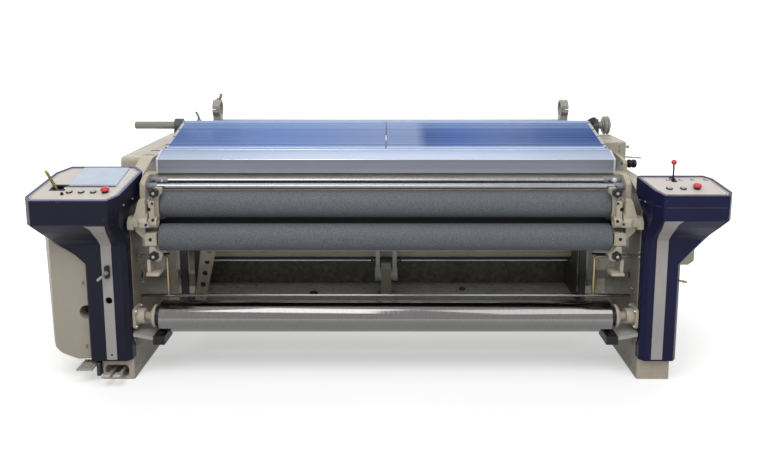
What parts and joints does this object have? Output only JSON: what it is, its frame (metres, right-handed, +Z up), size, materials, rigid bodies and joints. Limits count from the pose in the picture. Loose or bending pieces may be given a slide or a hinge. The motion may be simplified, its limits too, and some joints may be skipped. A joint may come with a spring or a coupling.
{
  "type": "power loom",
  "caption": "Water-jet power loom with press rollers, cloth roller, tinted guard, reed, heald frames, warp beam and two control consoles.",
  "frame": {"origin": "on the floor, in the middle of the loom's outer box", "axes": "+X to the right along the rollers, +Y to the rear, +Z up; the weaver stands in front at -Y"},
  "size_m": [3.2245, 1.9999, 1.3045],
  "materials": {
    "beige_paint": "semi-gloss machine paint",
    "navy_plastic": "glossy moulded shell",
    "pale_trim": "satin strip",
    "panel_plate": "satin foil",
    "screen": "smooth display",
    "black_plastic": "moulded",
    "grey_paint": "satin",
    "dark_paint": "satin",
    "silver_sheet": "anodised sheet",
    "white_plastic": "moulded",
    "blue_guard": "clear tinted sheet",
    "press_rubber": "speckled grip cover",
    "take_up_rubber": "grained",
    "chrome": "polished, hard plated",
    "brass": "dull",
    "steel": "turned",
    "grey_tube": "satin",
    "sheet_steel": "galvanised",
    "aluminium": "drawn",
    "motor_paint": "satin",
    "red_plastic": "moulded",
    "yellow_plastic": "moulded",
    "green_plastic": "moulded",
    "blue_plastic": "moulded"
  },
  "bodies": {
    "base": {"centre_post": "beige_paint", "cloth_bearings": "beige_paint", "cover_end_caps": "white_plastic", "cross_beams": "beige_paint", "drain_tray": "sheet_steel", "drive_housing": "beige_paint", "front_cover": "silver_sheet", "gear_cover": "beige_paint", "guide_bars": "chrome", "left_console": "navy_plastic", "left_frame": "beige_paint", "left_panel": "panel_plate", "left_roller_bracket": "beige_paint", "left_side_cover": "beige_paint", "motor": "motor_paint", "pedal_bracket": "dark_paint", "right_console": "navy_plastic", "right_frame": "beige_paint", "right_panel": "panel_plate", "right_roller_bracket": "beige_paint", "ring_brackets": "beige_paint", "shaft_bearings": "dark_paint", "stop_plates": "grey_paint", "switch_bases": "black_plastic", "touch_screen": "screen", "trim_stripes": "pale_trim"},
    "isolator_lever": {"isolator_lever": "grey_paint"},
    "lever_gimbal": {"lever_gimbal": "steel"},
    "rod_lever": {"rod_lever": "brass"},
    "ball_lever": {"ball_lever": "red_plastic"},
    "yellow_button": {"yellow_button": "yellow_plastic"},
    "green_button": {"green_button": "green_plastic"},
    "blue_button": {"blue_button": "blue_plastic"},
    "stop_button": {"stop_button": "red_plastic"},
    "right_green_button": {"right_green_button": "green_plastic"},
    "right_blue_button": {"right_blue_button": "blue_plastic"},
    "right_stop_button": {"right_stop_button": "red_plastic"},
    "double_knob": {"double_knob": "black_plastic"},
    "guard_left": {"guard_left": "blue_guard"},
    "guard_right": {"guard_right": "blue_guard"},
    "upper_press_roller": {"upper_press_roller": "press_rubber"},
    "lower_press_roller": {"lower_press_roller": "press_rubber"},
    "take_up_roller": {"take_up_roller": "take_up_rubber"},
    "upper_left_knob": {"upper_left_knob": "black_plastic"},
    "lower_left_knob": {"lower_left_knob": "black_plastic"},
    "upper_right_knob": {"upper_right_knob": "black_plastic"},
    "lower_right_knob": {"lower_right_knob": "black_plastic"},
    "cloth_roller": {"cloth_roller": "chrome"},
    "inner_pedal": {"inner_pedal": "grey_paint"},
    "outer_pedal": {"outer_pedal": "grey_paint"},
    "wide_pedal": {"wide_pedal": "grey_paint"},
    "clamp_lever": {"clamp_lever": "steel"},
    "back_rest_roller": {"back_rest_roller": "steel"},
    "cross_shaft": {"cross_shaft": "grey_tube"},
    "warp_beam": {"warp_beam": "steel"},
    "sley": {"sley": "aluminium", "reed": "steel"},
    "heald_frame_a": {"heald_frame_a": "aluminium"},
    "heald_frame_b": {"heald_frame_b": "aluminium"},
    "main_shaft": {"main_shaft": "steel"}
  },
  "joints": [
    {"name": "take_up_turn", "type": "hinge", "parent": "base", "child": "take_up_roller", "pos_m": [0.0315, -0.64154, 0.73818], "axis": [1, 0, 0], "continuous": true},
    {"name": "upper_press_turn", "type": "hinge", "parent": "base", "child": "upper_press_roller", "pos_m": [0.0315, -0.733, 0.853], "axis": [1, 0, 0], "continuous": true},
    {"name": "lower_press_turn", "type": "hinge", "parent": "base", "child": "lower_press_roller", "pos_m": [0.0315, -0.782, 0.701], "axis": [1, 0, 0], "continuous": true},
    {"name": "cloth_roller_turn", "type": "hinge", "parent": "base", "child": "cloth_roller", "pos_m": [0.0315, -0.78, 0.3], "axis": [1, 0, 0], "continuous": true},
    {"name": "warp_beam_turn", "type": "hinge", "parent": "base", "child": "warp_beam", "pos_m": [0.0315, 0.67, 0.42], "axis": [1, 0, 0], "continuous": true},
    {"name": "back_rest_turn", "type": "hinge", "parent": "base", "child": "back_rest_roller", "pos_m": [0.0315, 0.28, 1.095], "axis": [1, 0, 0], "continuous": true},
    {"name": "cross_shaft_turn", "type": "hinge", "parent": "base", "child": "cross_shaft", "pos_m": [0.0315, 0.1, 1.132], "axis": [1, 0, 0], "continuous": true},
    {"name": "sley_swing", "type": "hinge", "parent": "base", "child": "sley", "pos_m": [0.0315, -0.335, 0.364], "axis": [1, 0, 0], "range_deg": [0, 10]},
    {"name": "heald_a_lift", "type": "slide", "parent": "base", "child": "heald_frame_a", "axis": [0, 0, 1], "range_m": [-0.04, 0.04]},
    {"name": "heald_b_lift", "type": "slide", "parent": "base", "child": "heald_frame_b", "axis": [0, 0, 1], "range_m": [-0.04, 0.04]},
    {"name": "guard_left_lift", "type": "hinge", "parent": "base", "child": "guard_left", "pos_m": [0.0315, -0.478, 1.077], "axis": [1, 0, 0], "range_deg": [0, 75]},
    {"name": "guard_right_lift", "type": "hinge", "parent": "base", "child": "guard_right", "pos_m": [0.0315, -0.478, 1.077], "axis": [1, 0, 0], "range_deg": [0, 75]},
    {"name": "upper_left_knob_turn", "type": "hinge", "parent": "base", "child": "upper_left_knob", "pos_m": [-1.069, -0.826, 0.925], "axis": [0, 1, 0], "continuous": true},
    {"name": "lower_left_knob_turn", "type": "hinge", "parent": "base", "child": "lower_left_knob", "pos_m": [-1.069, -0.868, 0.627], "axis": [0, 1, 0], "continuous": true},
    {"name": "upper_right_knob_turn", "type": "hinge", "parent": "base", "child": "upper_right_knob", "pos_m": [1.132, -0.826, 0.925], "axis": [0, 1, 0], "continuous": true},
    {"name": "lower_right_knob_turn", "type": "hinge", "parent": "base", "child": "lower_right_knob", "pos_m": [1.132, -0.868, 0.627], "axis": [0, 1, 0], "continuous": true},
    {"name": "double_knob_turn", "type": "hinge", "parent": "base", "child": "double_knob", "pos_m": [1.29, -0.45, 1.001], "axis": [1, 0, 0], "continuous": true},
    {"name": "clamp_lever_turn", "type": "hinge", "parent": "base", "child": "clamp_lever", "pos_m": [-1.004, 0.286, 1.267], "axis": [0, 0, 1], "range_deg": [-90, 90]},
    {"name": "gimbal_rock", "type": "hinge", "parent": "base", "child": "lever_gimbal", "pos_m": [-1.49582, -0.86, 0.92991], "axis": [1, 0, 0], "range_deg": [-12, 12]},
    {"name": "rod_lever_swing", "type": "hinge", "parent": "lever_gimbal", "child": "rod_lever", "pos_m": [-1.49582, -0.86, 0.92991], "axis": [0, 1, 0], "range_deg": [0, 55]},
    {"name": "ball_lever_swing", "type": "hinge", "parent": "base", "child": "ball_lever", "pos_m": [1.38998, -0.826, 0.97138], "axis": [1, 0, 0], "range_deg": [-20, 20]},
    {"name": "isolator_turn", "type": "hinge", "parent": "base", "child": "isolator_lever", "pos_m": [-1.28774, -0.87, 0.556], "axis": [0, 1, 0], "range_deg": [0, 90]},
    {"name": "inner_pedal_press", "type": "hinge", "parent": "base", "child": "inner_pedal", "pos_m": [-1.254, -0.72, 0.045], "axis": [1, 0, 0], "range_deg": [0, 6], "stiffness_Nm_per_rad": 20, "springref_deg": -11.46},
    {"name": "outer_pedal_press", "type": "hinge", "parent": "base", "child": "outer_pedal", "pos_m": [-1.304, -0.72, 0.045], "axis": [1, 0, 0], "range_deg": [0, 6], "stiffness_Nm_per_rad": 20, "springref_deg": -11.46},
    {"name": "wide_pedal_press", "type": "hinge", "parent": "base", "child": "wide_pedal", "pos_m": [-1.4145, -0.8, 0.07], "axis": [1, 0, 0], "range_deg": [0, 8], "stiffness_Nm_per_rad": 20, "springref_deg": -11.46},
    {"name": "yellow_button_press", "type": "slide", "parent": "base", "child": "yellow_button", "axis": [0, 0.2419, -0.9703], "range_m": [0, 0.004], "stiffness_N_per_m": 1000, "springref_m": -0.003},
    {"name": "green_button_press", "type": "slide", "parent": "base", "child": "green_button", "axis": [0, 0.2419, -0.9703], "range_m": [0, 0.004], "stiffness_N_per_m": 1000, "springref_m": -0.003},
    {"name": "blue_button_press", "type": "slide", "parent": "base", "child": "blue_button", "axis": [0, 0.2419, -0.9703], "range_m": [0, 0.004], "stiffness_N_per_m": 1000, "springref_m": -0.003},
    {"name": "stop_button_press", "type": "slide", "parent": "base", "child": "stop_button", "axis": [0, 0.2419, -0.9703], "range_m": [0, 0.004], "stiffness_N_per_m": 1000, "springref_m": -0.003},
    {"name": "right_green_button_press", "type": "slide", "parent": "base", "child": "right_green_button", "axis": [0, 0.2419, -0.9703], "range_m": [0, 0.004], "stiffness_N_per_m": 1000, "springref_m": -0.003},
    {"name": "right_blue_button_press", "type": "slide", "parent": "base", "child": "right_blue_button", "axis": [0, 0.2419, -0.9703], "range_m": [0, 0.004], "stiffness_N_per_m": 1000, "springref_m": -0.003},
    {"name": "right_stop_button_press", "type": "slide", "parent": "base", "child": "right_stop_button", "axis": [0, 0.2419, -0.9703], "range_m": [0, 0.004], "stiffness_N_per_m": 1000, "springref_m": -0.003},
    {"name": "main_shaft_turn", "type": "hinge", "parent": "base", "child": "main_shaft", "pos_m": [0.0315, 0.06, 0.56], "axis": [1, 0, 0], "continuous": true}
  ],
  "couplings": [
    {"joint": "upper_press_turn", "follows": "take_up_turn", "ratio": -1.203},
    {"joint": "lower_press_turn", "follows": "take_up_turn", "ratio": -1.2308},
    {"joint": "heald_b_lift", "follows": "heald_a_lift", "ratio": -1}
  ]
}
